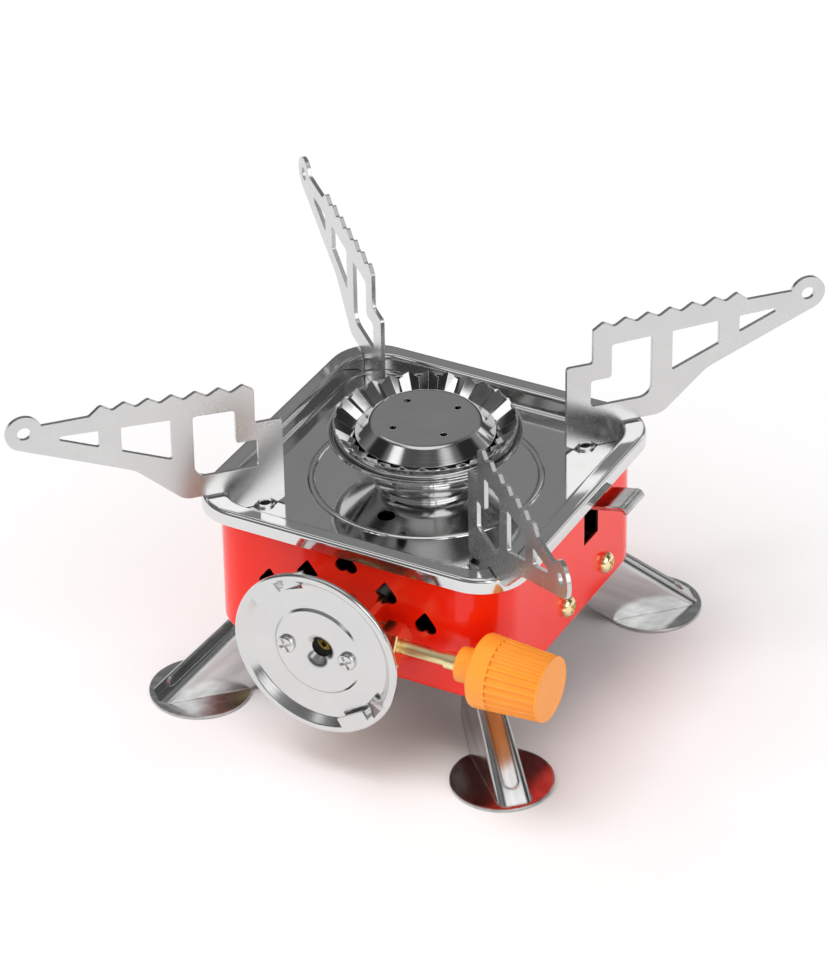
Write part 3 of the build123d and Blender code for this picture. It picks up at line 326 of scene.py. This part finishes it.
# Inlet seal: a black rubber washer in the mouth of the valve's body.
# The cartridge's stem presses against it. Dust clings to its matt face.
clean_rubber, dusty_rubber = (0.014, 0.014, 0.014), (0.045, 0.044, 0.043)
rubber, brush, spot = finish("seal_rubber")
dust = grain(brush, spot, scale=1300, detail=3)
feed(
    rubber,
    Base_Color=tones(brush, dust, clean_rubber, dusty_rubber),
    Roughness=0.5 + dust * 0.3,
)
dress(rubber, "inlet_seal")


# Connector dish: spun from steel sheet and bright plated, with two claws turned in from its rim.
# It is screwed to the valve, and its spinning rings run round the gas inlet.
inlet_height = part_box("connector_dish")[0][2] / 2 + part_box("connector_dish")[1][2] / 2
hazy_plating, bright_plating = (0.63, 0.63, 0.63), (0.73, 0.73, 0.725)
plated, brush, spot = finish("plated_dish", Metallic=1.0)
rings = turned_rings(brush, spot, centre=(0, 0, inlet_height), across=(1, 0, 1), pitch=0.0002)
haze = grain(brush, spot, scale=110, detail=4)
feed(
    plated,
    Base_Color=tones(brush, haze, hazy_plating, bright_plating),
    Roughness=0.07 + rings * 0.10 + haze * 0.08,
    Normal=relief(brush, rings, 0.12, edge=0.0002),
)
dress(plated, "connector_dish", "dish_screws")


# Control knob: moulded in one piece from orange plastic, fluted for grip, pushed onto the spindle.
# The mould's spark-eroded face leaves a fine grain, and the plastic is a little cloudy.
deep_orange, pale_orange = (0.88, 0.28, 0.022), (0.93, 0.34, 0.036)
orange, brush, spot = finish("orange_plastic")
fleck = grain(brush, spot, scale=1700, detail=2)
cloud = grain(brush, spot, scale=140, detail=3)
feed(
    orange,
    Base_Color=tones(brush, cloud, deep_orange, pale_orange),
    Roughness=0.30 + fleck * 0.18,
    Normal=relief(brush, fleck, 0.10, edge=0.0002),
)
dress(orange, "control_knob")


# Floor: a plain sheet of matt white paper that the stove stands on.
# It is large enough to fill every view.
reach = 6.0
edge_points = [(-reach, -reach, 0), (reach, -reach, 0), (reach, reach, 0), (-reach, reach, 0)]
floor_mesh = bpy.data.meshes.new("floor")
floor_mesh.from_pydata(edge_points, [], [(0, 1, 2, 3)])
floor = bpy.data.objects.new("floor", floor_mesh)
bpy.context.scene.collection.objects.link(floor)
paper_white = (0.90, 0.90, 0.90, 1)
paper = finish("white_paper", Base_Color=paper_white, Roughness=0.9, Specular_IOR_Level=0.0)[0]
floor_mesh.materials.append(paper)


# Studio: a cloth tent, white at the horizon and overhead and grey between. Metal shows two black
# flags and five soft boxes in it. Matt surfaces take a lit band at the horizon and three broad lamps,
# so that the floor below the stove stays in shade.
def aim(turn, rise):
    """The direction at a turn from the front towards the right, and a rise from the floor."""
    flat = cos(radians(rise))
    return (sin(radians(turn)) * flat, -cos(radians(turn)) * flat, sin(radians(rise)))


world = bpy.data.worlds.new("studio")
bpy.context.scene.world = world
world.use_nodes = True
tent = Finish(world.node_tree)
view = tent.make("TexCoord", out="Generated")
height = tent.make("SeparateXYZ", sockets={"Vector": view}, out="Z")
seen_stops = [
    (0.0, 1.0), (0.07, 1.0), (0.14, 0.06), (0.33, 0.09),
    (0.50, 0.27), (0.68, 0.25), (0.90, 0.08), (0.96, 1.0),
]
seen = tent.make("ValToRGB", {"stops": seen_stops}, {"Fac": height})

# Each flag and soft box has its turn, rise and spread in degrees, and its glow.
flags = [(120, 42, 18, 0.03), (-72, 38, 16, 0.03)]
soft_boxes = [
    (66, 35, 28, 2.0), (-40, 52, 10, 1.4), (150, 18, 13, 1.1), (26, 26, 11, 1.0), (-115, 58, 14, 0.8),
]
soft_edge = 8
for turn, rise, spread, glow in flags + soft_boxes:
    near = tent.make("VectorMath", {"operation": "DOT_PRODUCT"}, {0: view, 1: aim(turn, rise)}, out="Value")
    limits = {"From Min": cos(radians(spread)), "From Max": cos(radians(spread - soft_edge))}
    within = tent.make("MapRange", {"interpolation_type": "SMOOTHSTEP"}, {"Value": near, **limits})
    seen = tones(tent, within, seen, (glow, glow, glow))
cloth_stops = [(0.0, 1.8), (0.20, 1.8), (0.30, 0.14), (1.0, 0.28)]
cloth = tent.make("ValToRGB", {"stops": cloth_stops}, {"Fac": height})
shade = tones(tent, tent.make("LightPath", out="Is Diffuse Ray"), seen, cloth)
world.node_tree.links.new(shade.socket, world.node_tree.nodes["Background"].inputs["Color"])

# Each lamp has its name, its strength, and its lean from overhead and turn in degrees.
lamps = [("top", 1.72, 13, -60), ("left", 0.85, 50, -32), ("right", 0.50, 48, 66)]
lamp_width = 38
for name, power, lean, turn in lamps:
    lamp = bpy.data.lights.new(name, "SUN")
    lamp.energy = power
    lamp.angle = radians(lamp_width)
    carrier = bpy.data.objects.new(name, lamp)
    carrier.visible_glossy = False
    carrier.rotation_euler = (radians(lean), 0, radians(turn))
    bpy.context.scene.collection.objects.link(carrier)


# Camera: at the photograph's viewing angle, with the lens, distance and tilt that were fitted to the
# tray, the casing and the feet. It is placed from the tray's upper rim.
image_width, image_height = 828, 969
focal_pixels = 4421.4
around, lift, tilt = radians(28.392), radians(32.803), radians(-0.958)
distance, side_step, up_step = 1.05328, -0.00285, -0.006626
back = Vector((sin(around) * cos(lift), -cos(around) * cos(lift), sin(lift)))
right = Vector((cos(around), sin(around), 0))
up = back.cross(right)
across = right * cos(tilt) + up * sin(tilt)
upward = up * cos(tilt) - right * sin(tilt)
lens = bpy.data.cameras.new("camera")
lens.lens = lens.sensor_width * focal_pixels / max(image_width, image_height)
camera = bpy.data.objects.new("camera", lens)
bpy.context.scene.collection.objects.link(camera)
rim = Vector((0, 0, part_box("top_tray")[1][2]))
place = rim + back * distance + across * side_step + upward * up_step
camera.matrix_world = Matrix.Translation(place) @ Matrix((across, upward, back)).transposed().to_4x4()
bpy.context.scene.camera = camera
bpy.context.scene.view_settings.view_transform = "Standard"
